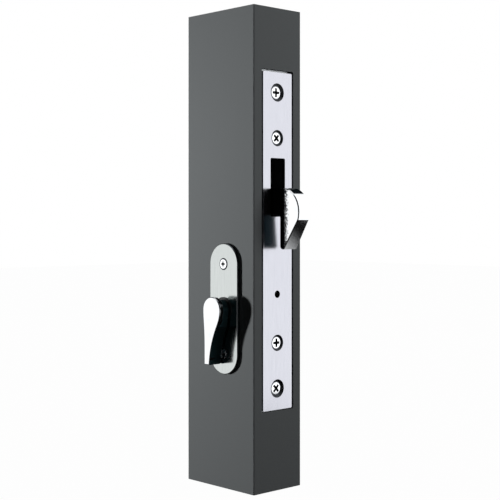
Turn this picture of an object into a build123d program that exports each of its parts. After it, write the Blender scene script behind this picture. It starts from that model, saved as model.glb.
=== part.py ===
from build123d import *
import math
import os

os.makedirs("parts", exist_ok=True)

# Door stile: a short length of hollow section, open at both ends
stile_width = 61.4
stile_depth = 40.0
stile_height = 295.0
stile_wall = 2.0
stile_edge_radius = 0.8

# Faceplate, let into the narrow side of the stile
faceplate_width = 25.4
faceplate_length = 207.1
faceplate_thickness = 3.0
faceplate_recess = 0.3
faceplate_corner_radius = 0.8
faceplate_centre_height = 152.8
cutout_gap = 0.7
cutout_corner_radius = 1.0
end_screw_spacing = 181.2
case_screw_spacing = 125.3
access_hole_radius = 2.25
access_hole_rise = 9.2

# Hook bolt, measured from its pivot: outward and upward
hook_setback = 14.0
hook_above_centre = 7.2
hook_thickness = 9.2
hook_hub_radius = 8.5
hook_neck_bottom = 8.2
hook_neck_top = 24.6
hook_inner_face = 6.3
hook_top_length = 11.5
hook_nose_reach = 21.8
hook_nose_height = 5.4
hook_tip_reach = 9.7
hook_tip_drop = 12.4
hook_crown_reach = 19.65
hook_crown_height = 18.9
hook_tip_radius = 2.0
hook_throat_radius = 1.5
hook_edge = 0.55
hook_edge_start = 1.0
hook_flare = 1.6
hook_boss_radius = 5.6
pivot_pin_radius = 3.0

# Slot in the faceplate that the hook swings through
slot_width = 12.4
slot_offset = 0.4
slot_height = 35.8
slot_below_neck = 0.8
slot_corner_radius = 0.9

# Thumbturn and its drive
turn_backset = 25.1
turn_below_centre = 42.1
crank_radius = 10.0
crank_start_angle = 45.0
crank_pin_radius = 2.0
crank_boss_wall = 1.8
follower_hub_radius = 7.6
journal_radius = 5.0
spindle_size = 5.0
spindle_clearance = 0.03

# Thumbturn lever
lobe_radius = 7.7
neck_radius = 5.8
lever_front = 12.0
lever_rim_thickness = 3.0
lever_gap = 1.0
lever_drop = 33.9
lever_lean = 4.3
lever_tail_width = 4.4
lever_tail_slope = 0.08
lever_waist_drop = 11.4
lever_waist_width = 11.1
lever_waist_lean = 1.4
lever_edge = 0.4
shank_radius = 4.95

# Oblong plate under the thumbturn
turn_plate_width = 25.2
turn_plate_length = 80.4
turn_plate_thickness = 2.0
turn_plate_edge = 0.4
plate_screw_spacing = 55.2

# Bush and retaining ring round the thumbturn's shank
bush_radius = 6.2
bush_flange_radius = 7.3
bush_flange_thickness = 0.6
ring_thickness = 0.8
ring_radius = 7.2
ring_groove_depth = 0.75
ring_mouth_angle = 70.0

# Lock case
case_wall = 1.5
case_inner_thickness = 14.0
case_length_behind_turn = 18.2
case_end_margin = 6.5
case_corner_radius = 4.0
lug_depth = 7.0
lug_height = 10.0

# Drive slide and the posts that guide it
slide_thickness = 2.0
slide_edge = 1.4
slide_end_edge = 2.6
slide_pin_clearance = 0.38
guide_post_radius = 2.0
upper_post_ahead_of_turn = 1.8
upper_post_below_hook = 15.0
lower_post_ahead_of_turn = 8.4
lower_post_above_turn = 16.3
case_post_radius = 2.4
case_post_inset = 5.0

# Mounting clips behind the ends of the cut-out
clip_width = 24.0
clip_thickness = 4.0
clip_inner_reach = 8.0
clip_outer_reach = 13.0

# Screws
end_screw_head_radius = 4.1
end_screw_radius = 2.5
end_screw_length = 13.0
end_sink_radius = 5.6
case_screw_head_radius = 3.85
case_screw_radius = 2.0
case_screw_length = 9.0
case_sink_radius = 5.0
sink_gap = 0.15
plate_screw_head_radius = 3.7
plate_screw_radius = 1.75
plate_screw_length = 8.0
head_rise = 0.3
recess_share = 1.15
recess_size = 0.95
recess_depth = 1.1

# Clearances
running = 0.05
face_gap = 0.1
side_gap = 0.2

# Wave washer that gives the thumbturn its drag
washer_gap = 0.3
washer_width = 2.2
washer_thickness = 0.4
follower_setback = 1.4

# Places that follow from the sizes above
front_x = stile_width / 2
face_x = front_x - faceplate_recess
face_back_x = face_x - faceplate_thickness
inner_front_x = front_x - stile_wall
side_y = -stile_depth / 2
inner_side_y = side_y + stile_wall
turn_x = front_x - turn_backset
turn_height = faceplate_centre_height - turn_below_centre
hook_x = front_x - hook_setback
hook_height = faceplate_centre_height + hook_above_centre
case_inner_y = case_inner_thickness / 2
case_outer_y = case_inner_y + case_wall
case_back_x = turn_x - case_length_behind_turn
case_top_z = faceplate_centre_height + case_screw_spacing / 2 + case_end_margin
case_bottom_z = faceplate_centre_height - case_screw_spacing / 2 - case_end_margin
case_middle_z = (case_top_z + case_bottom_z) / 2
slot_bottom_z = hook_height + hook_neck_bottom - slot_below_neck
slot_centre_z = slot_bottom_z + slot_height / 2
crank_step = crank_radius * math.sin(math.radians(crank_start_angle))
crank_reach = crank_radius * math.cos(math.radians(crank_start_angle))
slide_travel = 2 * crank_step
crank_boss_radius = crank_pin_radius + crank_boss_wall
slide_y = case_inner_y - side_gap
slide_back_y = slide_y - slide_thickness
hook_front_y = slide_back_y - side_gap
hook_back_y = hook_front_y - hook_thickness
follower_back_y = -case_inner_y + follower_setback
plate_face_y = side_y - turn_plate_thickness
lever_face_y = side_y - lever_front
lever_back_y = plate_face_y - lever_gap
bush_end_y = inner_side_y + face_gap
ring_y = bush_end_y + face_gap
shank_end_y = ring_y + 2 * ring_thickness


def side_plane(y):
    """A sketch plane facing -Y: its own x and y are the part's X and Z."""
    return Plane.XZ.offset(-y)


def screw(head_centre, outward, cross_turn, head_radius, shank_radius, length):
    """A countersunk screw with a raised head and a cross recess."""
    head_plane = Plane(origin=head_centre, x_dir=(0, 0, 1), z_dir=outward)
    profile_plane = Plane(origin=head_centre, x_dir=(0, 0, 1), z_dir=head_plane.y_dir)
    with BuildPart() as body:
        with BuildSketch(profile_plane):
            with BuildLine():
                Polyline(
                    (0, -head_rise),
                    (head_radius - 2 * head_rise, -head_rise),
                    (head_radius, 0),
                    (shank_radius, head_radius - shank_radius),
                    (shank_radius, length),
                    (0, length),
                    close=True,
                )
            make_face()
        revolve(axis=Axis(head_centre, outward))
        with BuildSketch(head_plane.offset(head_rise)):
            for angle in (cross_turn, cross_turn + 90):
                Rectangle(head_radius * recess_share, recess_size, rotation=angle)
        extrude(amount=-recess_depth - head_rise, mode=Mode.SUBTRACT)
    return body.part


def post(x, z, radius):
    """A straight steel post, riveted through both walls of the case."""
    with BuildPart() as body:
        with BuildSketch(side_plane(case_outer_y)):
            with Locations((x, z)):
                Circle(radius)
        extrude(amount=2 * case_outer_y)
    return body.part


def save(part, name):
    """Label a finished piece and write its file."""
    part.label = name
    export_step(part, f"parts/{name}.step")


# Places of the screws and posts
end_screw_heights = {
    "upper": faceplate_centre_height + end_screw_spacing / 2,
    "lower": faceplate_centre_height - end_screw_spacing / 2,
}
case_screw_heights = {
    "upper": faceplate_centre_height + case_screw_spacing / 2,
    "lower": faceplate_centre_height - case_screw_spacing / 2,
}
plate_screw_heights = {
    "upper": turn_height + plate_screw_spacing / 2,
    "lower": turn_height - plate_screw_spacing / 2,
}
guide_post_places = {
    "upper": (turn_x + upper_post_ahead_of_turn, hook_height - upper_post_below_hook),
    "lower": (turn_x + lower_post_ahead_of_turn, turn_height + lower_post_above_turn),
}
case_post_places = {
    "upper": (case_back_x + case_post_inset, case_top_z - case_post_inset),
    "lower": (case_back_x + case_post_inset, case_bottom_z + case_post_inset),
}
follower_pin = (turn_x + crank_reach, turn_height + crank_step)
hook_pin = (hook_x - crank_reach, hook_height + crank_step)

# Stile section
cutout_height = faceplate_length + 2 * cutout_gap
with BuildPart() as stile_section:
    with BuildSketch():
        RectangleRounded(stile_width, stile_depth, stile_edge_radius)
        Rectangle(stile_width - 2 * stile_wall, stile_depth - 2 * stile_wall, mode=Mode.SUBTRACT)
    extrude(amount=stile_height)
    with BuildSketch(Plane.YZ.offset(inner_front_x)):
        with Locations((0, faceplate_centre_height)):
            RectangleRounded(faceplate_width + 2 * cutout_gap, cutout_height, cutout_corner_radius)
    extrude(amount=stile_wall, mode=Mode.SUBTRACT)
    with BuildSketch(side_plane(inner_side_y)):
        with Locations((turn_x, turn_height)):
            Circle(bush_radius + running)
        with Locations([(turn_x, height) for height in plate_screw_heights.values()]):
            Circle(plate_screw_radius)
    extrude(amount=stile_wall, mode=Mode.SUBTRACT)
save(stile_section.part, "stile_section")

# Faceplate
with BuildPart() as faceplate:
    with BuildSketch(Plane.YZ.offset(face_back_x)):
        with Locations((0, faceplate_centre_height)):
            RectangleRounded(faceplate_width, faceplate_length, faceplate_corner_radius)
        with Locations((slot_offset, slot_centre_z)):
            RectangleRounded(slot_width, slot_height, slot_corner_radius, mode=Mode.SUBTRACT)
        with Locations((0, turn_height + access_hole_rise)):
            Circle(access_hole_radius, mode=Mode.SUBTRACT)
    extrude(amount=faceplate_thickness)
    for heights, sink, shank in (
        (end_screw_heights, end_sink_radius, end_screw_radius),
        (case_screw_heights, case_sink_radius, case_screw_radius),
    ):
        for height in heights.values():
            with Locations(Plane.YZ.offset(face_x) * Pos(0, height)):
                CounterSinkHole(shank + sink_gap, sink, faceplate_thickness, 90)
save(faceplate.part, "faceplate")

# Lock case: an open tray with two threaded lugs behind the faceplate
case_centre = ((case_back_x + face_back_x) / 2, case_middle_z)
case_width = face_back_x - case_back_x
case_height = case_top_z - case_bottom_z
with BuildPart() as case_body:
    with BuildSketch(side_plane(case_inner_y)):
        with Locations(case_centre):
            Rectangle(case_width, case_height)
    extrude(amount=case_inner_y + case_outer_y)
    back_edges = case_body.edges().filter_by(Axis.Y).group_by(Axis.X)[0]
    fillet(back_edges, radius=case_corner_radius)
    with BuildSketch(side_plane(case_inner_y)):
        with Locations(case_centre):
            Rectangle(case_width - 2 * case_wall, case_height - 2 * case_wall)
    extrude(amount=case_inner_thickness, mode=Mode.SUBTRACT)
    with BuildSketch(side_plane(case_inner_y)):
        for height in case_screw_heights.values():
            with Locations((face_back_x - case_wall - lug_depth / 2, height)):
                Rectangle(lug_depth, lug_height)
    extrude(amount=case_inner_thickness)
    with BuildSketch(Plane.YZ.offset(face_back_x)):
        with Locations((slot_offset, slot_centre_z)):
            Rectangle(slot_width, slot_height)
        with Locations((0, turn_height + access_hole_rise)):
            Circle(access_hole_radius + side_gap)
    extrude(amount=-case_wall, mode=Mode.SUBTRACT)
    with BuildSketch(Plane.YZ.offset(face_back_x)):
        with Locations([(0, height) for height in case_screw_heights.values()]):
            Circle(case_screw_radius)
    extrude(amount=-case_wall - lug_depth, mode=Mode.SUBTRACT)
    with BuildSketch(side_plane(-case_inner_y)):
        with Locations((turn_x, turn_height)):
            Circle(journal_radius + running)
        with Locations(*guide_post_places.values()):
            Circle(guide_post_radius)
        with Locations(*case_post_places.values()):
            Circle(case_post_radius)
        with Locations((hook_x, hook_height)):
            Circle(pivot_pin_radius)
    extrude(amount=case_wall, mode=Mode.SUBTRACT)
save(case_body.part, "case_body")

# Case cover
with BuildPart() as case_cover:
    with BuildSketch(side_plane(case_outer_y)):
        with Locations(case_centre):
            Rectangle(case_width, case_height)
        with Locations(*guide_post_places.values()):
            Circle(guide_post_radius, mode=Mode.SUBTRACT)
        with Locations(*case_post_places.values()):
            Circle(case_post_radius, mode=Mode.SUBTRACT)
        with Locations((hook_x, hook_height)):
            Circle(pivot_pin_radius, mode=Mode.SUBTRACT)
    extrude(amount=case_wall)
    back_edges = case_cover.edges().filter_by(Axis.Y).group_by(Axis.X)[0]
    fillet(back_edges, radius=case_corner_radius)
save(case_cover.part, "case_cover")

# Posts across the case, and the pin that the hook swings on
for level, (x, z) in guide_post_places.items():
    save(post(x, z, guide_post_radius), f"guide_post_{level}")
for level, (x, z) in case_post_places.items():
    save(post(x, z, case_post_radius), f"case_post_{level}")
save(post(hook_x, hook_height, pivot_pin_radius), "hook_pivot_pin")

# Mounting clips: each lies behind the wall and, a step lower, behind the faceplate's end
for level, height in end_screw_heights.items():
    outward = 1 if level == "upper" else -1
    wall_edge = faceplate_centre_height + outward * cutout_height / 2
    inner_end = height - outward * clip_inner_reach
    outer_end = wall_edge + outward * clip_outer_reach
    with BuildPart() as clip:
        with BuildSketch(side_plane(clip_width / 2)):
            with BuildLine():
                Polyline(
                    (face_back_x, inner_end),
                    (face_back_x, wall_edge),
                    (inner_front_x, wall_edge),
                    (inner_front_x, outer_end),
                    (face_back_x - clip_thickness, outer_end),
                    (face_back_x - clip_thickness, inner_end),
                    close=True,
                )
            make_face()
        extrude(amount=clip_width)
        with BuildSketch(Plane.YZ.offset(face_back_x)):
            with Locations((0, height)):
                Circle(end_screw_radius)
        extrude(amount=-clip_thickness, mode=Mode.SUBTRACT)
    save(clip.part, f"{level}_mounting_clip")

# Faceplate screws, their crosses turned as each was driven home
end_head_x = face_x - (end_sink_radius - end_screw_head_radius - sink_gap)
for level, height in end_screw_heights.items():
    turned = 0 if level == "upper" else 45
    head = (end_head_x, 0, height)
    piece = screw(head, (1, 0, 0), turned, end_screw_head_radius, end_screw_radius, end_screw_length)
    save(piece, f"end_screw_{level}")
case_head_x = face_x - (case_sink_radius - case_screw_head_radius - sink_gap)
for level, height in case_screw_heights.items():
    turned = 45 if level == "upper" else 0
    head = (case_head_x, 0, height)
    piece = screw(head, (1, 0, 0), turned, case_screw_head_radius, case_screw_radius, case_screw_length)
    save(piece, f"case_screw_{level}")

# Hook bolt
hook_face_x = hook_x + hook_setback
hook_crown = (hook_face_x + hook_crown_reach, hook_height + hook_crown_height)
hook_nose = (hook_face_x + hook_nose_reach, hook_height + hook_nose_height)
hook_tip = (hook_face_x + hook_tip_reach, hook_height - hook_tip_drop)
hook_inner_x = hook_face_x + hook_inner_face
with BuildPart() as hook_bolt:
    with BuildSketch(side_plane(hook_front_y)):
        with BuildLine():
            back = Line((hook_x, hook_height), (hook_x, hook_height + hook_neck_top))
            top = Line(back @ 1, (hook_face_x + hook_top_length, hook_height + hook_neck_top))
            crown = ThreePointArc(top @ 1, hook_crown, hook_nose)
            nose = Line(crown @ 1, hook_tip)
            tip = Line(nose @ 1, (hook_inner_x, hook_tip[1]))
            inner = Line(tip @ 1, (hook_inner_x, hook_height + hook_neck_bottom))
            neck = Line(inner @ 1, (hook_x + hook_neck_bottom, hook_height + hook_neck_bottom))
            Line(neck @ 1, back @ 0)
        make_face()
        with Locations((hook_x, hook_height)):
            Circle(hook_hub_radius)
        with Locations(hook_pin):
            Circle(crank_boss_radius)
    extrude(amount=hook_thickness)
    with BuildSketch(side_plane(hook_front_y + hook_flare)):
        with BuildLine():
            Polyline(hook_nose, hook_tip, (hook_inner_x, hook_tip[1]), (hook_inner_x, hook_nose[1]), close=True)
        make_face()
    extrude(amount=hook_flare)
    with BuildSketch(Plane.YZ.offset(hook_inner_x)):
        with BuildLine():
            Polyline(
                (hook_front_y, hook_nose[1]),
                (hook_front_y + hook_flare, hook_nose[1]),
                (hook_front_y + hook_flare, hook_tip[1]),
                close=True,
            )
        make_face()
    extrude(amount=hook_nose_reach, mode=Mode.SUBTRACT)
    upright = hook_bolt.edges().filter_by(Axis.Y)
    tip_edges = upright.group_by(Axis.Z)[0]
    fillet(tip_edges.sort_by(Axis.X)[0], radius=hook_tip_radius)
    upright = hook_bolt.edges().filter_by(Axis.Y)
    throat = upright.sort_by_distance((hook_inner_x, hook_front_y - hook_thickness / 2, hook_height + hook_neck_bottom))
    fillet(throat[0], radius=hook_throat_radius)
    near_face = hook_bolt.faces().filter_by(Axis.Y).sort_by(Axis.Y)[0]
    chamfer(near_face.edges().filter_by_position(Axis.X, hook_face_x + hook_edge_start, 2 * front_x), length=hook_edge)
    with BuildSketch(side_plane(hook_back_y)):
        with Locations((hook_x, hook_height)):
            Circle(hook_boss_radius)
    extrude(amount=hook_back_y + case_inner_y - side_gap)
    with BuildSketch(side_plane(hook_front_y)):
        with Locations((hook_x, hook_height)):
            Circle(pivot_pin_radius + running)
        with Locations(hook_pin):
            Circle(crank_pin_radius)
    extrude(amount=hook_front_y + case_inner_y, mode=Mode.SUBTRACT)
save(hook_bolt.part, "hook_bolt")

# Pin in the hook's tail, riding in the slide's upper slot
with BuildPart() as hook_tail_pin:
    with BuildSketch(side_plane(slide_y)):
        with Locations(hook_pin):
            Circle(crank_pin_radius)
    extrude(amount=slide_y - hook_back_y)
save(hook_tail_pin.part, "hook_tail_pin")

# Follower: a crank on the spindle, turning in the case wall
with BuildPart() as follower:
    with BuildSketch(side_plane(hook_front_y)):
        with Locations((turn_x, turn_height)):
            Circle(follower_hub_radius)
        with Locations(follower_pin):
            Circle(crank_boss_radius)
        make_hull()
    extrude(amount=hook_front_y - follower_back_y)
    with BuildSketch(side_plane(follower_back_y)):
        with Locations((turn_x, turn_height)):
            Circle(journal_radius)
    extrude(amount=follower_back_y + case_outer_y)
    with BuildSketch(side_plane(hook_front_y)):
        with Locations((turn_x, turn_height)):
            Rectangle(spindle_size + 2 * spindle_clearance, spindle_size + 2 * spindle_clearance)
        with Locations(follower_pin):
            Circle(crank_pin_radius)
    extrude(amount=hook_front_y + case_outer_y, mode=Mode.SUBTRACT)
save(follower.part, "follower")

# Drive pin in the follower, riding in the slide's lower slot
with BuildPart() as drive_pin:
    with BuildSketch(side_plane(slide_y)):
        with Locations(follower_pin):
            Circle(crank_pin_radius)
    extrude(amount=slide_y - follower_back_y)
save(drive_pin.part, "drive_pin")

# Wave washer: a ring bowed along one diameter
washer_inner = journal_radius + washer_gap
washer_outer = washer_inner + washer_width
washer_low_y = -case_inner_y + running
washer_high_y = follower_back_y - running
with BuildPart() as wave_washer:
    with BuildSketch(Plane.YZ.offset(turn_x)):
        with BuildLine():
            low = ThreePointArc(
                (washer_low_y, turn_height - washer_outer),
                (washer_high_y - washer_thickness, turn_height),
                (washer_low_y, turn_height + washer_outer),
            )
            high = ThreePointArc(
                (washer_low_y + washer_thickness, turn_height - washer_outer),
                (washer_high_y, turn_height),
                (washer_low_y + washer_thickness, turn_height + washer_outer),
            )
            Line(low @ 0, high @ 0)
            Line(low @ 1, high @ 1)
        make_face()
    extrude(amount=washer_outer, both=True)
    with BuildSketch(side_plane(follower_back_y)):
        with Locations((turn_x, turn_height)):
            Circle(washer_outer)
            Circle(washer_inner, mode=Mode.SUBTRACT)
    extrude(amount=follower_setback, mode=Mode.INTERSECT)
save(wave_washer.part, "wave_washer")

# Drive slide: a flat plate with a cross slot for each pin and an upright slot for each post
upper_slot_half = (crank_radius - crank_reach) / 2 + crank_pin_radius + slide_pin_clearance
slot_half_height = crank_pin_radius + slide_pin_clearance
hook_slot_x = hook_x - (crank_radius + crank_reach) / 2
follower_slot_x = turn_x + (crank_radius + crank_reach) / 2
slide_top_z = hook_pin[1] + slot_half_height + slide_end_edge
slide_bottom_z = follower_pin[1] - slot_half_height - slide_end_edge
slide_step_z = guide_post_places["lower"][1] + slide_travel + guide_post_radius + slide_end_edge
upper_left_x = hook_slot_x - upper_slot_half - slide_edge
upper_right_x = hook_slot_x + upper_slot_half + slide_edge
lower_left_x = follower_slot_x - upper_slot_half - slide_edge
lower_right_x = follower_slot_x + upper_slot_half + slide_edge
with BuildPart() as drive_slide:
    with BuildSketch(side_plane(slide_y)):
        with BuildLine():
            Polyline(
                (upper_left_x, slide_top_z),
                (upper_right_x, slide_top_z),
                (upper_right_x, slide_step_z + slide_end_edge),
                (lower_right_x, slide_step_z),
                (lower_right_x, slide_bottom_z),
                (lower_left_x, slide_bottom_z),
                (lower_left_x, slide_step_z - slide_travel),
                (upper_left_x, slide_step_z),
                close=True,
            )
        make_face()
        with Locations((hook_slot_x, hook_pin[1]), (follower_slot_x, follower_pin[1])):
            SlotOverall(2 * upper_slot_half, 2 * slot_half_height, mode=Mode.SUBTRACT)
        for x, z in guide_post_places.values():
            with Locations((x, z + slide_travel / 2)):
                SlotCenterToCenter(slide_travel, 2 * (guide_post_radius + face_gap), rotation=90, mode=Mode.SUBTRACT)
    extrude(amount=slide_thickness)
save(drive_slide.part, "drive_slide")

# Oblong plate with full round ends
with BuildPart() as turn_plate:
    with BuildSketch(side_plane(side_y)):
        with Locations((turn_x, turn_height)):
            SlotOverall(turn_plate_length, turn_plate_width, rotation=90)
    extrude(amount=turn_plate_thickness)
    chamfer(turn_plate.faces().sort_by(Axis.Y)[0].edges(), length=turn_plate_edge)
    with BuildSketch(side_plane(side_y)):
        with Locations((turn_x, turn_height)):
            Circle(bush_radius + running)
    extrude(amount=turn_plate_thickness, mode=Mode.SUBTRACT)
    for height in plate_screw_heights.values():
        with Locations(side_plane(plate_face_y) * Pos(turn_x, height)):
            CounterSinkHole(plate_screw_radius, plate_screw_head_radius, turn_plate_thickness, 90)
save(turn_plate.part, "turn_plate")

# Plate screws, cut into the stile's wall
for level, height in plate_screw_heights.items():
    head = (turn_x, plate_face_y, height)
    piece = screw(head, (0, -1, 0), 0, plate_screw_head_radius, plate_screw_radius, plate_screw_length)
    save(piece, f"plate_screw_{level}")

# Bush
with BuildPart() as turn_bush:
    with BuildSketch(side_plane(bush_end_y)):
        with Locations((turn_x, turn_height)):
            Circle(bush_radius)
    extrude(amount=bush_end_y - plate_face_y)
    with BuildSketch(side_plane(plate_face_y)):
        with Locations((turn_x, turn_height)):
            Circle(bush_flange_radius)
    extrude(amount=bush_flange_thickness)
    with BuildSketch(side_plane(bush_end_y)):
        with Locations((turn_x, turn_height)):
            Circle(shank_radius + running)
    extrude(amount=bush_end_y - plate_face_y + bush_flange_thickness, mode=Mode.SUBTRACT)
save(turn_bush.part, "turn_bush")


# Thumbturn: a teardrop lever, drawn in to a neck behind its round head, on a grooved shank
waist_z = turn_height - lever_waist_drop
waist_x = turn_x - lever_waist_lean
tail_z = turn_height - lever_drop
tail_x = turn_x - lever_lean
with BuildSketch() as neck_outline:
    with Locations((turn_x, turn_height)):
        Circle(neck_radius)
    with Locations((waist_x, waist_z)):
        Circle(lever_waist_width / 2)
    make_hull()
with BuildPart() as thumbturn:
    with BuildSketch(side_plane(lever_back_y)):
        with BuildLine():
            head = ThreePointArc(
                (turn_x - lobe_radius, turn_height),
                (turn_x, turn_height + lobe_radius),
                (turn_x + lobe_radius, turn_height),
            )
            right = Spline(
                head @ 1,
                (waist_x + lever_waist_width / 2, waist_z),
                (tail_x + lever_tail_width / 2, tail_z),
                tangents=[(0, -1), (-lever_tail_slope, -1)],
            )
            tail = Line(right @ 1, (tail_x - lever_tail_width / 2, tail_z))
            Spline(
                tail @ 1,
                (waist_x - lever_waist_width / 2, waist_z),
                head @ 0,
                tangents=[(0, 1), (0, 1)],
            )
        make_face()
    extrude(amount=lever_back_y - lever_face_y)
    chamfer(thumbturn.faces().sort_by(Axis.Y)[0].edges(), length=lever_edge)
    with BuildSketch(side_plane(lever_back_y)):
        with Locations((turn_x, turn_height)):
            Circle(math.dist((turn_x, turn_height), (waist_x, waist_z)))
        add(neck_outline.sketch, mode=Mode.SUBTRACT)
    extrude(amount=lever_back_y - lever_face_y - lever_rim_thickness, mode=Mode.SUBTRACT)
    with BuildSketch(side_plane(shank_end_y)):
        with Locations((turn_x, turn_height)):
            Circle(shank_radius)
    extrude(amount=shank_end_y - lever_back_y)
    with BuildSketch(side_plane(ring_y + ring_thickness + running)):
        with Locations((turn_x, turn_height)):
            Circle(shank_radius)
            Circle(shank_radius - ring_groove_depth, mode=Mode.SUBTRACT)
    extrude(amount=ring_thickness + 2 * running, mode=Mode.SUBTRACT)
    with BuildSketch(side_plane(shank_end_y)):
        with Locations((turn_x, turn_height)):
            Rectangle(spindle_size, spindle_size)
    extrude(amount=shank_end_y - lever_back_y, mode=Mode.SUBTRACT)
save(thumbturn.part, "thumbturn")

# Spindle: a square bar from the thumbturn to the follower
with BuildPart() as turn_spindle:
    with BuildSketch(side_plane(hook_front_y - side_gap)):
        with Locations((turn_x, turn_height)):
            Rectangle(spindle_size, spindle_size)
    extrude(amount=hook_front_y - side_gap - lever_back_y)
save(turn_spindle.part, "turn_spindle")

# Open retaining ring in the shank's groove
with BuildPart() as retaining_ring:
    with BuildSketch(side_plane(ring_y + ring_thickness)):
        with Locations((turn_x, turn_height)):
            Circle(ring_radius)
            Circle(shank_radius - ring_groove_depth + running, mode=Mode.SUBTRACT)
        mouth = math.radians(ring_mouth_angle / 2)
        reach = 2 * ring_radius
        with BuildLine():
            Polyline(
                (turn_x, turn_height),
                (turn_x + reach * math.sin(mouth), turn_height - reach * math.cos(mouth)),
                (turn_x - reach * math.sin(mouth), turn_height - reach * math.cos(mouth)),
                close=True,
            )
        make_face(mode=Mode.SUBTRACT)
    extrude(amount=ring_thickness)
save(retaining_ring.part, "retaining_ring")
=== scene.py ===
import math

import bmesh
import bpy
from mathutils import Matrix, Vector


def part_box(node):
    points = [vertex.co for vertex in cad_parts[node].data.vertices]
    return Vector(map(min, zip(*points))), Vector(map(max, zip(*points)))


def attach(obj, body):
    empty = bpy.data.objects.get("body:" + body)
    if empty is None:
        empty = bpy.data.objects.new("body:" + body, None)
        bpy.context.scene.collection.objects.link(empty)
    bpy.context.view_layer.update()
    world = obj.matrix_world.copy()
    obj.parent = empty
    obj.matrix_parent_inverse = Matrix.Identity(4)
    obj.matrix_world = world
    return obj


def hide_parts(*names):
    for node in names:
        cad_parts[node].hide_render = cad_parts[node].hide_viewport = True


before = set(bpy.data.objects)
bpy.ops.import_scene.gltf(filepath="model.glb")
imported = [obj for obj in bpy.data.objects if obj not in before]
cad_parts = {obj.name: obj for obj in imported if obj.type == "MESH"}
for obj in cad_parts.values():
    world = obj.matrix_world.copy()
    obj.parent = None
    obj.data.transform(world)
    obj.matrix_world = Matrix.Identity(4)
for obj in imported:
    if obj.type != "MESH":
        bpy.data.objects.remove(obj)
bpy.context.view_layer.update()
bpy.context.scene.view_settings.view_transform = "Standard"
mm = 0.001

# Where the lock's faces lie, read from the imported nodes
stileLow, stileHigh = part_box("stile_section")
faceLow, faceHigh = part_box("faceplate")
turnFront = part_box("thumbturn")[0][1]
print("frame loaded")


def hexToLinear(hexColour):
    channels = [int(hexColour[i:i + 2], 16) / 255 for i in (1, 3, 5)]
    linear = [c / 12.92 if c <= 0.04045 else ((c + 0.055) / 1.055) ** 2.4 for c in channels]
    return (*linear, 1.0)


def setInputs(tree, node, inputs):
    # inputs are numbers, colours or other nodes' outputs
    for name, value in inputs.items():
        if isinstance(value, bpy.types.NodeSocket):
            tree.links.new(value, node.inputs[name])
        else:
            node.inputs[name].default_value = value


def addNode(tree, kind, inputs=None, output=0, **settings):
    # Gives back the output that the next node takes
    node = tree.nodes.new(f"ShaderNode{kind}")
    for name, value in settings.items():
        setattr(node, name, value)
    setInputs(tree, node, inputs or {})
    return node.outputs[output]


def newMaterial(name):
    # place is where a point lies in the part's own frame, in metres
    material = bpy.data.materials.new(name)
    material.use_nodes = True
    tree = material.node_tree
    place = addNode(tree, "TexCoord", output="Object")
    return material, tree, tree.nodes["Principled BSDF"], place


# Dark grey powder-coated aluminium door section
stilePaint = {
    "coat": "#626566",
    "coatLight": "#686b6c",
    "lightFrom": 0.35,        # of the speckle's noise, where the lighter coat begins
    "lightFull": 0.65,        # and where there is no other
    "roughness": 0.60,
    "glossDrift": 0.04,
    "glossPatch": 111.1,      # mm, slow drift of the gloss
    "specular": 0.005,
    "speckle": 0.35,          # mm, grain of the powder coat
    "speckleStrength": 0.12,
    "speckleDepth": 0.02,     # mm
    "orangePeel": 1.6,        # mm, slow waves in the cured coat
    "peelStrength": 0.10,
    "peelDepth": 0.05,        # mm
    "sawnEnd": "#a9abac",
    "sawnLevel": 0.9,         # how nearly level a face has to be to be a sawn end
    "sawnZone": 1.0,          # mm, and how near the stile's top or foot
}


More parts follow.
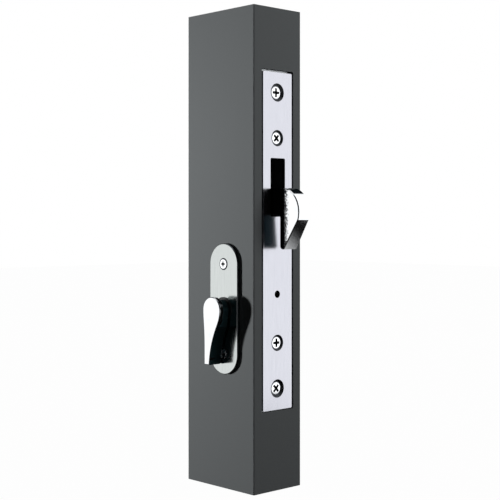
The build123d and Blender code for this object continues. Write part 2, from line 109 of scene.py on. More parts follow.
def makePowderCoat():
    # Baked polyester powder on an extrusion: even, satin, with a fine orange peel
    look = stilePaint
    material, tree, shader, place = newMaterial("powderCoatedAluminium")
    grain = {"Vector": place, "Scale": 1 / (look["speckle"] * mm), "Detail": 3.0, "Roughness": 0.6}
    speckle = addNode(tree, "TexNoise", grain)
    waves = {"Vector": place, "Scale": 1 / (look["orangePeel"] * mm), "Detail": 2.0}
    peel = addNode(tree, "TexNoise", waves)
    patches = {"Vector": place, "Scale": 1 / (look["glossPatch"] * mm), "Detail": 2.0}
    patch = addNode(tree, "TexNoise", patches)
    levels = {"From Min": look["lightFrom"], "From Max": look["lightFull"]}
    lighter = addNode(tree, "MapRange", {"Value": speckle, **levels})
    coats = {"A": hexToLinear(look["coat"]), "B": hexToLinear(look["coatLight"])}
    coat = addNode(tree, "Mix", {"Factor": lighter, **coats}, "Result", data_type="RGBA")
    # The two sawn ends show bare metal
    normal = addNode(tree, "NewGeometry", output="Normal")
    upward = addNode(tree, "SeparateXYZ", {"Vector": normal}, "Z")
    upright = addNode(tree, "Math", {0: upward}, operation="ABSOLUTE")
    level = addNode(tree, "Math", {0: upright, 1: look["sawnLevel"]}, operation="GREATER_THAN")
    middle = (stileLow[2] + stileHigh[2]) / 2
    height = addNode(tree, "SeparateXYZ", {"Vector": place}, "Z")
    above = addNode(tree, "Math", {0: height, 1: middle}, operation="SUBTRACT")
    fromMiddle = addNode(tree, "Math", {0: above}, operation="ABSOLUTE")
    farEnough = stileHigh[2] - middle - look["sawnZone"] * mm
    atEnd = addNode(tree, "Math", {0: fromMiddle, 1: farEnough}, operation="GREATER_THAN")
    sawn = addNode(tree, "Math", {0: level, 1: atEnd}, operation="MULTIPLY")
    coatOrMetal = {"Factor": sawn, "A": coat, "B": hexToLinear(look["sawnEnd"])}
    colour = addNode(tree, "Mix", coatOrMetal, "Result", data_type="RGBA")
    gloss = {
        "To Min": look["roughness"] - look["glossDrift"],
        "To Max": look["roughness"] + look["glossDrift"],
    }
    roughness = addNode(tree, "MapRange", {"Value": patch, **gloss})
    fineBump = {"Strength": look["speckleStrength"], "Distance": look["speckleDepth"] * mm}
    surface = addNode(tree, "Bump", {"Height": speckle, **fineBump})
    slowBump = {"Strength": look["peelStrength"], "Distance": look["peelDepth"] * mm}
    surface = addNode(tree, "Bump", {"Height": peel, "Normal": surface, **slowBump})
    paint = {"Base Color": colour, "Metallic": sawn, "Roughness": roughness, "Normal": surface}
    setInputs(tree, shader, {"Specular IOR Level": look["specular"], **paint})
    return material


# Satin stainless plates: grit lines along their length
satinPlates = {
    "faceplate": {"steel": "#abacb3", "streak": "#a2a3aa", "roughness": 0.21},
    "turnPlate": {"steel": "#a6aaa9", "streak": "#9da1a0", "roughness": 0.14},
    "lineWidth": 0.35,        # mm, drawn coarser than 180 grit so that it shows
    "lineLength": 14.0,       # mm
    "streakFrom": 0.4,        # of the lines' noise, where the streak's colour begins
    "streakFull": 0.75,       # and where there is no other
    "lineStrength": 0.15,
    "lineDepth": 0.01,        # mm
    "cloud": 22.22,           # mm, brighter and duller patches
    "brighter": 0.04,         # off the roughness, in the brightest of them
    "duller": 0.05,
}


def makeSatinSteel(name, look):
    # Belt-ground stainless: long fine scratches, so highlights spread across them
    material, tree, shader, place = newMaterial(name)
    across = 1 / (satinPlates["lineWidth"] * mm)
    along = 1 / (satinPlates["lineLength"] * mm)
    stretched = addNode(tree, "Mapping", {"Vector": place, "Scale": (across, across, along)})
    grain = addNode(tree, "TexNoise", {"Vector": stretched, "Scale": 1.0, "Detail": 4.0, "Roughness": 0.65})
    patches = {"Vector": place, "Scale": 1 / (satinPlates["cloud"] * mm), "Detail": 2.0}
    cloud = addNode(tree, "TexNoise", patches)
    levels = {"From Min": satinPlates["streakFrom"], "From Max": satinPlates["streakFull"]}
    streaks = addNode(tree, "MapRange", {"Value": grain, **levels})
    colours = {"A": hexToLinear(look["steel"]), "B": hexToLinear(look["streak"])}
    steel = addNode(tree, "Mix", {"Factor": streaks, **colours}, "Result", data_type="RGBA")
    gloss = {
        "To Min": look["roughness"] - satinPlates["brighter"],
        "To Max": look["roughness"] + satinPlates["duller"],
    }
    roughness = addNode(tree, "MapRange", {"Value": cloud, **gloss})
    lines = {"Strength": satinPlates["lineStrength"], "Distance": satinPlates["lineDepth"] * mm}
    surface = addNode(tree, "Bump", {"Height": grain, **lines})
    satin = {"Base Color": steel, "Metallic": 1.0, "Roughness": roughness, "Normal": surface}
    setInputs(tree, shader, satin)
    return material


# Polished chrome on the hook and the thumbturn
chromeLook = {
    "metal": "#c6c8ca",
    "smudge": "#c0c2c4",
    "mark": 6.25,             # mm, light handling marks
    "smudgeFrom": 0.5,        # of the marks' noise, where the smudge's colour begins
    "smudgeFull": 0.75,       # and where there is no other
    "roughness": 0.045,
    "markRoughness": 0.06,    # added in the heaviest marks
    "polishWave": 4.0,        # mm, slow ripple left by the buffing wheel
    "waveStrength": 0.05,
    "waveDepth": 0.02,        # mm
    "castGrain": 0.7,         # mm, the casting's skin showing through the plate
    "grainStrength": 0.35,
    "grainDepth": 0.05,       # mm
}
# The hook's two sides, and its faces that look down, are painted near black from the root out to about where
# the stile's corner stops hiding the bright screen: painted shade and painted dark reflection. Places are mm
# along X
hookSideShadeAndCrown = {
    "hookPaintedShade": "#0b0d10",
    "sideways": 0.95,         # how squarely a face looks along Y to be one of the sides
    "downward": -0.9,         # faces that look down count with them
    "plainChromeFrom": 43.7,
    "speck": 0.8,             # mm, size of the spots where the painted shade and plain chrome meet
    "scatter": 9.0,           # mm, how far those spots stray for a full step of the noise
    "fadeFrom": -1.2,         # mm, full painted shade up to here from the middle of their band
    "fadeTo": 0.1,            # and plain chrome from here
    "glint": 0.55,            # mm, single specks of plain chrome left within the painted shade
    "glintFrom": 0.56,        # of their noise, where one begins
    "glintFull": 0.72,
    "glintMost": 0.8,
    "glintReach": 4.5,        # mm, how far in from plainChromeFrom they go
    "crownFrom": 47.5,        # from here the sides curve away to the root
    "crownWidth": 6.5,        # mm, over this much
    "crown": 7.3,             # per metre, how steeply
}


def paintHookShade(tree, place, metal, surface):
    look = hookSideShadeAndCrown
    outAlong = addNode(tree, "SeparateXYZ", {"Vector": place}, "X")
    normal = addNode(tree, "NewGeometry", output="Normal")
    sideways = addNode(tree, "SeparateXYZ", {"Vector": normal}, "Y")
    squarely = addNode(tree, "Math", {0: sideways}, operation="ABSOLUTE")
    onSide = addNode(tree, "Math", {0: squarely, 1: look["sideways"]}, operation="GREATER_THAN")
    upward = addNode(tree, "SeparateXYZ", {"Vector": normal}, "Z")
    below = addNode(tree, "Math", {0: upward, 1: look["downward"]}, operation="LESS_THAN")
    # The painted shade and plain chrome meet in a band of spots
    speck = addNode(tree, "TexNoise", {"Vector": place, "Scale": 1 / (look["speck"] * mm), "Detail": 2.0})
    spread = {0: speck, 1: look["scatter"] * mm, 2: outAlong}
    strayed = addNode(tree, "Math", spread, operation="MULTIPLY_ADD")
    middle = look["plainChromeFrom"] + look["scatter"] / 2
    band = {"From Min": (middle + look["fadeFrom"]) * mm, "From Max": (middle + look["fadeTo"]) * mm}
    shadeShare = addNode(tree, "MapRange", {"Value": strayed, "To Min": 1.0, "To Max": 0.0, **band})
    # Single specks of plain chrome are left within the painted shade
    fine = addNode(tree, "TexNoise", {"Vector": place, "Scale": 1 / (look["glint"] * mm), "Detail": 1.0})
    levels = {"From Min": look["glintFrom"], "From Max": look["glintFull"], "To Max": look["glintMost"]}
    glint = addNode(tree, "MapRange", {"Value": fine, **levels})
    reach = {"From Min": (look["plainChromeFrom"] - look["glintReach"]) * mm, "From Max": look["plainChromeFrom"] * mm}
    nearEnd = addNode(tree, "MapRange", {"Value": outAlong, **reach})
    specks = addNode(tree, "Math", {0: glint, 1: nearEnd}, operation="MULTIPLY")
    plain = addNode(tree, "Math", {0: 1.0, 1: specks}, operation="SUBTRACT")
    shadeShare = addNode(tree, "Math", {0: shadeShare, 1: plain}, operation="MULTIPLY")
    # Painted shade: the sides and underside near the root turn near black, standing in for the shade and
    # dark reflections there
    faces = addNode(tree, "Math", {0: onSide, 1: below}, operation="MAXIMUM")
    hookPaintedShade = addNode(tree, "Math", {0: shadeShare, 1: faces}, operation="MULTIPLY")
    chromeOrShade = {"Factor": hookPaintedShade, "A": metal, "B": hexToLinear(look["hookPaintedShade"])}
    metal = addNode(tree, "Mix", chromeOrShade, "Result", data_type="RGBA")
    # The sides curve away a little toward the root, which decides what they mirror
    inward = addNode(tree, "Math", {0: look["crownFrom"] * mm, 1: outAlong}, operation="SUBTRACT")
    inward = addNode(tree, "Math", {0: inward, 1: 0.0}, operation="MAXIMUM")
    inward = addNode(tree, "Math", {0: inward, 1: look["crownWidth"] * mm}, operation="MINIMUM")
    rise = addNode(tree, "Math", {0: inward, 1: inward}, operation="MULTIPLY")
    rise = addNode(tree, "Math", {0: rise, 1: onSide}, operation="MULTIPLY")
    crown = {"Height": rise, "Strength": 1.0, "Distance": look["crown"], "Normal": surface}
    return metal, addNode(tree, "Bump", crown)


def makePolishedChrome(name, isHook):
    # Decorative chrome over a buffed casting: near mirror, with a faint ripple and light handling marks
    look = chromeLook
    material, tree, shader, place = newMaterial(name)
    marking = {"Vector": place, "Scale": 1 / (look["mark"] * mm), "Detail": 5.0, "Roughness": 0.6}
    marks = addNode(tree, "TexNoise", marking)
    buffing = {"Vector": place, "Scale": 1 / (look["polishWave"] * mm), "Detail": 1.0}
    ripple = addNode(tree, "TexNoise", buffing)
    skin = {"Vector": place, "Scale": 1 / (look["castGrain"] * mm), "Detail": 2.0}
    casting = addNode(tree, "TexNoise", skin)
    levels = {"From Min": look["smudgeFrom"], "From Max": look["smudgeFull"]}
    smudges = addNode(tree, "MapRange", {"Value": marks, **levels})
    colours = {"A": hexToLinear(look["metal"]), "B": hexToLinear(look["smudge"])}
    metal = addNode(tree, "Mix", {"Factor": smudges, **colours}, "Result", data_type="RGBA")
    waves = {"Strength": look["waveStrength"], "Distance": look["waveDepth"] * mm}
    surface = addNode(tree, "Bump", {"Height": ripple, **waves})
    grain = {"Strength": look["grainStrength"], "Distance": look["grainDepth"] * mm}
    surface = addNode(tree, "Bump", {"Height": casting, "Normal": surface, **grain})
    # On the hook, painted shade darkens the sides and underside near the root
    if isHook:
        metal, surface = paintHookShade(tree, place, metal, surface)
    gloss = {"To Min": look["roughness"], "To Max": look["roughness"] + look["markRoughness"]}
    roughness = addNode(tree, "MapRange", {"Value": marks, **gloss})
    chrome = {"Base Color": metal, "Metallic": 1.0, "Roughness": roughness, "Normal": surface}
    setInputs(tree, shader, chrome)
    return material


# Plain finishes: colour, metallic, roughness, and the size in mm of the surface's grain
plainFinishes = {
    "nickelPlatedSteel": ("#e4e6e8", 1.0, 0.24, 0.8),      # electroplated: bright, with soft glints
    "steelPaintedRecessShade": ("#3c3e41", 1.0, 0.45, 0.4),          # painted shade in recesses and on a sheared edge: dark steel
    "drilledSteel": ("#5a5d63", 1.0, 0.30, 0.5),           # painted shade in countersinks and on screw heads' edges: grey steel
    "chromePaintedShade": ("#2a4044", 1.0, 0.45, 0.5),         # painted shade on chrome faces that lie in shade: dark, dull, bluish
    "blackenedSteel": ("#1a1a1b", 0.0, 0.62, 0.5),         # phosphated sheet: matt black
    "zincPlatedSteel": ("#b4b7ba", 1.0, 0.38, 0.9),        # stamped, then plated: even pale grey
    "castZinc": ("#8f9295", 1.0, 0.5, 0.7),                # die cast: dull grey skin
    "mouldedNylon": ("#17181a", 0.0, 0.45, 0.6),           # injection moulded: black, half dull
    "springSteel": ("#8c8d90", 1.0, 0.28, 0.6),            # drawn and ground: plain grey, fairly bright
    "millAluminium": ("#b9bcbe", 1.0, 0.42, 1.2),          # sawn from an extrusion: pale and soft
}
# What they have in common: the grain's darker colour, gloss and surface
plainGrain = {
    "shade": 0.86,
    "shadeFrom": 0.42,        # of the grain's noise, where the darker colour begins
    "shadeFull": 0.7,         # and where there is no other
    "brighter": 0.03,
    "duller": 0.05,
    "strength": 0.1,
    "depth": 0.01,            # mm
}


def makePlainFinish(name):
    # A small inner or fixing piece: one finish, with a fine grain
    hexColour, metallic, rough, grainSize = plainFinishes[name]
    material, tree, shader, place = newMaterial(name)
    grain = addNode(tree, "TexNoise", {"Vector": place, "Scale": 1 / (grainSize * mm), "Detail": 3.0})
    base = hexToLinear(hexColour)
    darker = tuple(c * plainGrain["shade"] for c in base[:3]) + (1.0,)
    levels = {"From Min": plainGrain["shadeFrom"], "From Max": plainGrain["shadeFull"]}
    shaded = addNode(tree, "MapRange", {"Value": grain, **levels})
    colour = addNode(tree, "Mix", {"Factor": shaded, "A": base, "B": darker}, "Result", data_type="RGBA")
    gloss = {"To Min": rough - plainGrain["brighter"], "To Max": rough + plainGrain["duller"]}
    roughness = addNode(tree, "MapRange", {"Value": grain, **gloss})
    bump = {"Strength": plainGrain["strength"], "Distance": plainGrain["depth"] * mm}
    surface = addNode(tree, "Bump", {"Height": grain, **bump})
    finish = {"Base Color": colour, "Metallic": metallic, "Roughness": roughness, "Normal": surface}
    setInputs(tree, shader, finish)
    return material


powderCoat = makePowderCoat()
faceplateSteel = makeSatinSteel("satinStainlessFaceplate", satinPlates["faceplate"])
turnPlateSteel = makeSatinSteel("satinStainlessPlate", satinPlates["turnPlate"])
polishedChrome = makePolishedChrome("polishedChrome", False)
hookChrome = makePolishedChrome("polishedChromeHookPaintedShade", True)
finishes = {name: makePlainFinish(name) for name in plainFinishes}
print("materials made")

# What each node's own solid is made of; the pins, posts, ring and washer are spring steel
nodeFinishes = {
    "stile_section": powderCoat,
    "faceplate": faceplateSteel,
    "turn_plate": turnPlateSteel,
    "hook_bolt": hookChrome,
    "thumbturn": polishedChrome,
    "case_body": finishes["blackenedSteel"],
    "case_cover": finishes["blackenedSteel"],
    "drive_slide": finishes["zincPlatedSteel"],
    "turn_spindle": finishes["zincPlatedSteel"],
    "follower": finishes["castZinc"],
    "turn_bush": finishes["mouldedNylon"],
}
for level in ("upper", "lower"):
    nodeFinishes[f"{level}_mounting_clip"] = finishes["millAluminium"]
    for stem in ("end_screw", "case_screw", "plate_screw"):
        nodeFinishes[f"{stem}_{level}"] = finishes["nickelPlatedSteel"]
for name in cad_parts:
    solid = bpy.data.objects[name].data
    solid.materials.clear()
    solid.materials.append(nodeFinishes.get(name, finishes["springSteel"]))
print("nodes finished")

# Polished and ground pieces whose edges show are rounded off a little, as tumbling and buffing leave them
easing = {
    "weld": 0.001,            # mm, vertices closer than this are one
    "flat": 0.5,              # degrees, faces that bend less are one face
    "crease": 12,             # degrees, an edge that bends more is sharp
    "segments": 3,
}
easedPieces = {
    "hook_bolt": {
        "body": "hook",
        "slot": "polished_chrome",
        "finish": hookChrome,
        "edge": 0.16,         # mm
        # The throat, painted dark: painted shade
        "shadeFinish": finishes["chromePaintedShade"],
        "shadedFaces": lambda face: face.normal.x < -0.3,
    },
    "thumbturn": {
        "body": "turn",
        "slot": "polished_chrome",
        "finish": polishedChrome,
        "edge": 0.20,
        # All that lies behind the lever's rim, painted dark: painted shade
        "shadeFinish": finishes["chromePaintedShade"],
        "shadedFaces": lambda face: face.center.y > turnFront + 3.2 * mm,
    },
    "faceplate": {
        "body": "lock",
        "slot": "satin_faceplate",
        "finish": faceplateSteel,
        "edge": 0.30,
        # The countersinks' cones, and the sheared edge toward the thumbturn's side, painted dark: painted
        # shade
        "shadeFinish": finishes["steelPaintedRecessShade"],
        "shadedFaces": lambda face: 0.6 < face.normal.x < 0.8 or face.normal.y < -0.9,
        # mm, more play in its cut-out; what lies within the band moves with the edge
        "fitted": {"left": 0.7, "right": 0.3, "top": 0.6, "band": 2.0},
    },
    "turn_plate": {
        "body": "lock",
        "slot": "satin_plate",
        "finish": turnPlateSteel,
        "edge": 0.12,
        # The countersinks' cones, painted darker: painted shade
        "shadeFinish": finishes["drilledSteel"],
        "shadedFaces": lambda face: -0.8 < face.normal.y < -0.6,
    },
}


def fitOutline(shape, fitted):
    band = fitted["band"] * mm
    for vertex in shape.verts:
        if vertex.co.y < faceLow[1] + band:
            vertex.co.y += fitted["left"] * mm
        if vertex.co.y > faceHigh[1] - band:
            vertex.co.y -= fitted["right"] * mm
        if vertex.co.z > faceHigh[2] - band:
            vertex.co.z -= fitted["top"] * mm


def easeEdges(nodeName, look):
    # The solid's flat faces are joined up first, so that only its real edges are rounded
    mesh = bpy.data.objects[nodeName].data.copy()
    shape = bmesh.new()
    shape.from_mesh(mesh)
    bmesh.ops.remove_doubles(shape, verts=shape.verts, dist=easing["weld"] * mm)
    bmesh.ops.dissolve_limit(
        shape,
        angle_limit=math.radians(easing["flat"]),
        verts=shape.verts,
        edges=shape.edges,
        use_dissolve_boundaries=False,
    )
    # Flat faces stay flat shaded, so that what they mirror stays true
    for face in shape.faces:
        bends = [edge.calc_face_angle(0) for edge in face.edges if len(edge.link_faces) == 2]
        face.smooth = any(easing["flat"] < math.degrees(bend) < easing["crease"] for bend in bends)
    if "fitted" in look:
        fitOutline(shape, look["fitted"])
    shape.to_mesh(mesh)
    shape.free()
    mesh.materials.clear()
    mesh.materials.append(look["finish"])
    mesh.materials.append(look["shadeFinish"])
    # Faces in shade take the second finish: painted shade
    for face in mesh.polygons:
        face.material_index = 1 if look["shadedFaces"](face) else 0
    mesh.set_sharp_from_angle(angle=math.radians(easing["crease"]))
    piece = bpy.data.objects.new(f"{nodeName}_eased", mesh)
    bpy.context.scene.collection.objects.link(piece)
    rounding = piece.modifiers.new("edge rounding", "BEVEL")
    rounding.width = look["edge"] * mm
    rounding.segments = easing["segments"]
    rounding.limit_method = "ANGLE"
    rounding.angle_limit = math.radians(easing["crease"])
    rounding.use_clamp_overlap = True
    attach(piece, look["body"])
    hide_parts(nodeName)


for nodeName, look in easedPieces.items():
    easeEdges(nodeName, look)
print("edges eased")

# Cross-recess screws: raised countersunk heads and cut threads
screwLook = {
    "packedRise": 0.3,        # mm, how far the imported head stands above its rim
    "dome": 0.25,             # mm, how far this one's middle does
    "domeSteps": 8,
    "shadedEdgeFrom": 0.90,         # of the head's radius, where its painted shade begins
    "rim": 0.12,              # mm, small flat land at the head's widest place
    "segments": 56,
    "sharp": 28,              # degrees
    "crossReach": 0.72,       # of the head's radius, from its middle to a slot's end
    "crossWidth": 1.70,       # mm
    "crossDepth": 2.0,        # mm
    "crossTaper": 0.35,       # the recess's foot against its mouth, lengthwise
    "footWidth": 0.15,        # and across
    "punchAbove": 0.3,        # mm, how far the punch stands over the dome
    "punchFlare": 1.1,        # and how much wider it is up there
    "threadHeight": 0.28,     # mm
    "threadStart": 0.3,       # mm, below the neck
    "plainTip": 1.0,          # mm, left without thread
    "tipTaper": 0.7,          # the tip's radius against the thread's root
}
screws = {
    "end_screw_upper": {"outward": (1, 0, 0), "turned": 0, "shank": 2.5, "pitch": 0.8},
    "end_screw_lower": {"outward": (1, 0, 0), "turned": 45, "shank": 2.5, "pitch": 0.8},
    "case_screw_upper": {"outward": (1, 0, 0), "turned": 45, "shank": 2.0, "pitch": 0.7},
    "case_screw_lower": {"outward": (1, 0, 0), "turned": 0, "shank": 2.0, "pitch": 0.7},
}
for level in ("upper", "lower"):
    screws[f"plate_screw_{level}"] = {
        "outward": (0, -1, 0),
        "turned": 0,
        "shank": 1.75,
        "pitch": 0.9,
        "head": 0.87,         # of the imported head's radius
        "cross": 0.72,        # of the other screws' recess
        "offset": (-0.28, 0, 0),            # mm, off the countersink's centre
    }


def meshFrom(shape, name):
    bmesh.ops.recalc_face_normals(shape, faces=shape.faces)
    mesh = bpy.data.meshes.new(name)
    shape.to_mesh(mesh)
    shape.free()
    return mesh


def latheMesh(name, profile, segments):
    # Turns a list of (radius, height) about Z, with a point at each end on the axis
    shape = bmesh.new()
    rings = []
    for radius, height in profile:
        if radius == 0:
            rings.append([shape.verts.new((0, 0, height))])
            continue
        ring = []
        for step in range(segments):
            angle = 2 * math.pi * step / segments
            ring.append(shape.verts.new((radius * math.cos(angle), radius * math.sin(angle), height)))
        rings.append(ring)
    for upper, lower in zip(rings, rings[1:]):
        for step in range(segments):
            following = (step + 1) % segments
            corners = [upper[step % len(upper)], lower[step % len(lower)]]
            corners += [lower[following % len(lower)], upper[following % len(upper)]]
            shape.faces.new(list(dict.fromkeys(corners)))
    return meshFrom(shape, name)


def screwProfile(headRadius, length, look):
    steps = screwLook["domeSteps"]
    shares = [step / steps for step in range(steps + 1)]
    profile = [(headRadius * share, screwLook["dome"] * (1 - share ** 2)) for share in shares]
    profile.append((headRadius, -screwLook["rim"]))
    root = look["shank"] - screwLook["threadHeight"]
    neck = -(headRadius - look["shank"]) - screwLook["rim"]
    profile.append((look["shank"], neck))
    profile.append((root, neck - screwLook["threadStart"]))
    turns = int((length + neck - screwLook["plainTip"]) / look["pitch"])
    for turn in range(turns):
        start = neck - screwLook["threadStart"] - turn * look["pitch"]
        profile.append((look["shank"], start - look["pitch"] / 2))
        profile.append((root, start - look["pitch"]))
    profile.append((root * screwLook["tipTaper"], -length))
    profile.append((0, -length))
    return profile


def crossCutter(headRadius, look):
    # Two tapered bars that cross, as the punch leaves them
    shape = bmesh.new()
    share = look.get("cross", 1)
    reach = screwLook["crossReach"] * headRadius * share
    halfWidth = screwLook["crossWidth"] * share / 2
    flare = screwLook["punchFlare"]
    mouth = (screwLook["dome"] + screwLook["punchAbove"], flare * reach, flare * halfWidth)
    bottom = screwLook["dome"] - screwLook["crossDepth"]
    foot = (bottom, screwLook["crossTaper"] * reach, screwLook["footWidth"] * halfWidth)
    for quarter in (0, 90):
        turn = Matrix.Rotation(math.radians(look["turned"] + quarter), 3, "Z")
        corners = []
        for height, length, width in (mouth, foot):
            for across, along in ((-1, -1), (1, -1), (1, 1), (-1, 1)):
                corners.append(shape.verts.new(turn @ Vector((across * width, along * length, height))))
        shape.faces.new(corners[:4])
        shape.faces.new(corners[4:])
        for side in range(4):
            following = (side + 1) % 4
            shape.faces.new((corners[side], corners[following], corners[4 + following], corners[4 + side]))
    return meshFrom(shape, "crossPunch")


def punchCross(piece, headRadius, look):
    cutter = bpy.data.objects.new("crossPunch", crossCutter(headRadius, look))
    # The recess walls take dark steel: painted shade
    cutter.data.materials.append(finishes["steelPaintedRecessShade"])
    bpy.context.scene.collection.objects.link(cutter)
    punch = piece.modifiers.new("cross recess", "BOOLEAN")
    punch.operation = "DIFFERENCE"
    punch.solver = "EXACT"
    punch.use_self = True
    punch.material_mode = "TRANSFER"
    punch.object = cutter
    bpy.context.view_layer.update()
    evaluated = piece.evaluated_get(bpy.context.evaluated_depsgraph_get())
    piece.data = bpy.data.meshes.new_from_object(evaluated)
    piece.modifiers.clear()
    bpy.data.objects.remove(cutter)


def makeScrew(nodeName, look):
    low, high = (Vector(corner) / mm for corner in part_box(nodeName))
    outward = Vector(look["outward"])
    size = high - low
    length = abs(size.dot(outward))
    headRadius = size.z / 2 * look.get("head", 1)
    rise = screwLook["packedRise"]
    head = (low + high) / 2 + outward * (length / 2 - rise) + Vector(look.get("offset", (0, 0, 0)))
    profile = screwProfile(headRadius, length - rise, look)
    body = latheMesh(f"{nodeName}_turned", profile, screwLook["segments"])
    body.materials.append(finishes["nickelPlatedSteel"])
    piece = bpy.data.objects.new(f"{nodeName}_turned", body)
    bpy.context.scene.collection.objects.link(piece)
    punchCross(piece, headRadius, look)
    # The head's very edge is painted darker, as the countersink's shade falls there: painted shade
    finished = piece.data
    finished.materials.append(finishes["drilledSteel"])
    shadedEdgeSlot = len(finished.materials) - 1
    for face in finished.polygons:
        if face.center.xy.length > screwLook["shadedEdgeFrom"] * headRadius:
            face.material_index = shadedEdgeSlot
    # The head's own X lies along the part's Z, so that a turn of 0 stands the cross upright
    across = Vector((0, 0, 1))
    axes = Matrix((across, outward.cross(across), outward)).transposed().to_4x4()
    finished.transform(Matrix.Translation(head * mm) @ axes @ Matrix.Scale(mm, 4))
    finished.shade_smooth()
    finished.set_sharp_from_angle(angle=math.radians(screwLook["sharp"]))
    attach(piece, "lock")
    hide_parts(nodeName)


for nodeName, look in screws.items():
    makeScrew(nodeName, look)
print("screws made")

# Camera, fitted to the stile's corners in the photograph
cameraPlace = {
    "position": (0.52605, -0.48757, 0.16456),
    "azimuth": 46.85,
    "lens": 81.75,
    "sensor": 36,
    "shiftY": -0.0574,
    "nearClip": 0.01,
}
cameraData = bpy.data.cameras.new("camera")
cameraData.lens = cameraPlace["lens"]
cameraData.sensor_width = cameraPlace["sensor"]
cameraData.shift_y = cameraPlace["shiftY"]
cameraData.clip_start = cameraPlace["nearClip"]
camera = bpy.data.objects.new("camera", cameraData)
camera.location = cameraPlace["position"]
camera.rotation_euler = (math.radians(90), 0, math.radians(cameraPlace["azimuth"]))
bpy.context.scene.collection.objects.link(camera)
bpy.context.scene.camera = camera

# Studio: pale floor and surround, and three lamps that light the paint.
# Metal doesn't see the lamps: it mirrors bright screens, and bright parts of the paper floor.
studio = {
    "middle": 0.15,           # height that the lamps stand about and look at
    "leftLamp": {
        "direction": (-0.78, -0.63, -0.07),
        "distance": 1.0,
        "size": (0.05, 0.08),
        "power": 2.2,
        "aim": 0.22,          # height that this one looks at
        "spread": 70,         # degrees, so that the light falls off toward the stile's foot
    },
    "rightLamp": {"direction": (1.0, 0.38, 0.48), "distance": 0.7, "size": (0.45, 0.30), "power": 2.45},
    "backLamp": {"direction": (-0.45, 0.85, 0.3), "distance": 1.0, "size": (0.5, 0.5), "power": 4.0},
    "fill": 0.006,
    "fillColour": "#c9dcff",
    # Screens by direction: toward each one, and how squarely a ray has to point there
    "screens": {
        "left": {"toward": (-0.82, -0.57, 0.0), "starts": 0.80, "ends": 0.90, "strength": 1.8},
        "right": {"toward": (0.71, 0.66, 0.24), "starts": 0.82, "ends": 0.88, "strength": 1.92},
        "top": {"toward": (0.47, 0.68, 0.56), "starts": 0.82, "ends": 0.88, "strength": 1.92},
        "ceiling": {"toward": (0, 0, 1), "starts": 0.80, "ends": 0.90, "strength": 1.5},
    },
    # Bright parts of the floor: toward each one, and how far out along that it lies, in metres.
    # The card is a small round one behind the stile, which the beak's slanted front mirrors.
    "papers": {
        "left": {"toward": (-0.73, -0.68, 0.0), "starts": 0.22, "ends": 0.34, "strength": 1.8},
        "right": {"toward": (0.73, 0.68, 0.0), "starts": 0.212, "ends": 0.24, "strength": 1.92},
        "card": {"middle": (0.080, 0.140, 0.0), "starts": 0.045, "ends": 0.010, "strength": 0.9},
    },
    "dark": 0.008,            # strength of all that lies between them
    "darkTint": (0.6, 1.0, 1.2, 1.0),
    "tintEnds": 0.3,          # strength from which the light is white
}
studioFloor = {
    "size": 6.0,
    "drop": 0.2,              # mm, below the stile's foot
    "paper": "#3a3a3a",       # grey, so that it throws little light back at the paint
    "roughness": 0.9,
    "glow": 0.985,            # how much of what the camera sees is plain white; the rest keeps the shadow
}


def brightest(tree, place, looks):
    # The light of whichever screen, paper or card shines most at a place or in a direction
    most = 0.0
    for look in looks.values():
        if "middle" in look:
            points = {0: place, 1: look["middle"]}
            along = addNode(tree, "VectorMath", points, "Value", operation="DISTANCE")
        else:
            points = {0: place, 1: look["toward"]}
            along = addNode(tree, "VectorMath", points, "Value", operation="DOT_PRODUCT")
        edge = {"Value": along, "From Min": look["starts"], "From Max": look["ends"]}
        levels = {"To Min": studio["dark"], "To Max": look["strength"]}
        light = addNode(tree, "MapRange", {**edge, **levels}, interpolation_type="SMOOTHSTEP")
        most = addNode(tree, "Math", {0: most, 1: light}, operation="MAXIMUM")
    return most


def seenBy(tree):
    # The camera's own rays, and those that metal and glass send on
    path = tree.nodes.new("ShaderNodeLightPath").outputs
    sentOn = {0: path["Is Glossy Ray"], 1: path["Is Transmission Ray"]}
    return path["Is Camera Ray"], addNode(tree, "Math", sentOn, operation="MAXIMUM")


white = (1, 1, 1, 1)
world = bpy.data.worlds.new("studioWorld")
bpy.context.scene.world = world
world.use_nodes = True
tree = world.node_tree
tree.nodes.clear()
cameraRay, mirrored = seenBy(tree)
fill = addNode(tree, "Background", {"Color": hexToLinear(studio["fillColour"]), "Strength": studio["fill"]})
backdrop = addNode(tree, "Background", {"Color": white, "Strength": 1.0})
heading = addNode(tree, "TexCoord", output="Generated")
shine = brightest(tree, heading, studio["screens"])
whiteness = addNode(tree, "MapRange", {"Value": shine, "From Max": studio["tintEnds"]})
tints = {"Factor": whiteness, "A": studio["darkTint"], "B": white}
tint = addNode(tree, "Mix", tints, "Result", data_type="RGBA")
screens = addNode(tree, "Background", {"Color": tint, "Strength": shine})
inMetal = addNode(tree, "MixShader", {0: mirrored, 1: fill, 2: screens})
seenWorld = addNode(tree, "MixShader", {0: cameraRay, 1: inMetal, 2: backdrop})
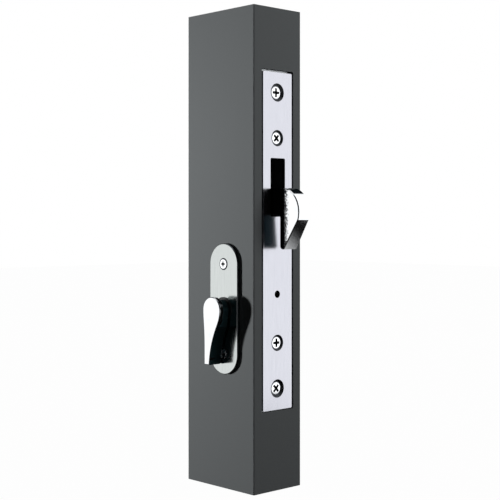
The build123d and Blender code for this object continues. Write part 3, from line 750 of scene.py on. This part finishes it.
tree.links.new(seenWorld, tree.nodes.new("ShaderNodeOutputWorld").inputs["Surface"])

half = studioFloor["size"] / 2
floorMesh = bpy.data.meshes.new("studioFloor")
floorCorners = [(-half, -half, 0), (half, -half, 0), (half, half, 0), (-half, half, 0)]
floorMesh.from_pydata(floorCorners, [], [(0, 1, 2, 3)])
floor = bpy.data.objects.new("studioFloor", floorMesh)
bpy.context.scene.collection.objects.link(floor)
floor.location.z = -studioFloor["drop"] * mm
# Matte background paper: even, with no shine of its own
paper, tree, shader, onFloor = newMaterial("backgroundPaper")
base = hexToLinear(studioFloor["paper"])
setInputs(tree, shader, {"Base Color": base, "Roughness": studioFloor["roughness"]})
floorMesh.materials.append(paper)
cameraRay, mirrored = seenBy(tree)
glow = addNode(tree, "Emission", {"Color": white, "Strength": 1.0})
glowShare = addNode(tree, "Math", {0: cameraRay, 1: studioFloor["glow"]}, operation="MULTIPLY")
papers = brightest(tree, onFloor, studio["papers"])
mirroredGlow = addNode(tree, "Emission", {"Color": white, "Strength": papers})
inMetal = addNode(tree, "MixShader", {0: mirrored, 1: shader.outputs["BSDF"], 2: mirroredGlow})
seenPaper = addNode(tree, "MixShader", {0: glowShare, 1: inMetal, 2: glow})
tree.links.new(seenPaper, tree.nodes["Material Output"].inputs["Surface"])


def addLamp(name, look):
    lampData = bpy.data.lights.new(name, "AREA")
    lampData.shape = "RECTANGLE"
    lampData.size, lampData.size_y = look["size"]
    lampData.energy = look["power"]
    lampData.spread = math.radians(look.get("spread", 180))
    lamp = bpy.data.objects.new(name, lampData)
    toLamp = Vector(look["direction"]).normalized()
    lamp.location = Vector((0, 0, studio["middle"])) + toLamp * look["distance"]
    away = lamp.location - Vector((0, 0, look.get("aim", studio["middle"])))
    lamp.rotation_euler = away.to_track_quat("Z", "Y").to_euler()
    lamp.visible_glossy = False
    bpy.context.scene.collection.objects.link(lamp)


for name in ("leftLamp", "rightLamp", "backLamp"):
    addLamp(name, studio[name])
print("studio lit")
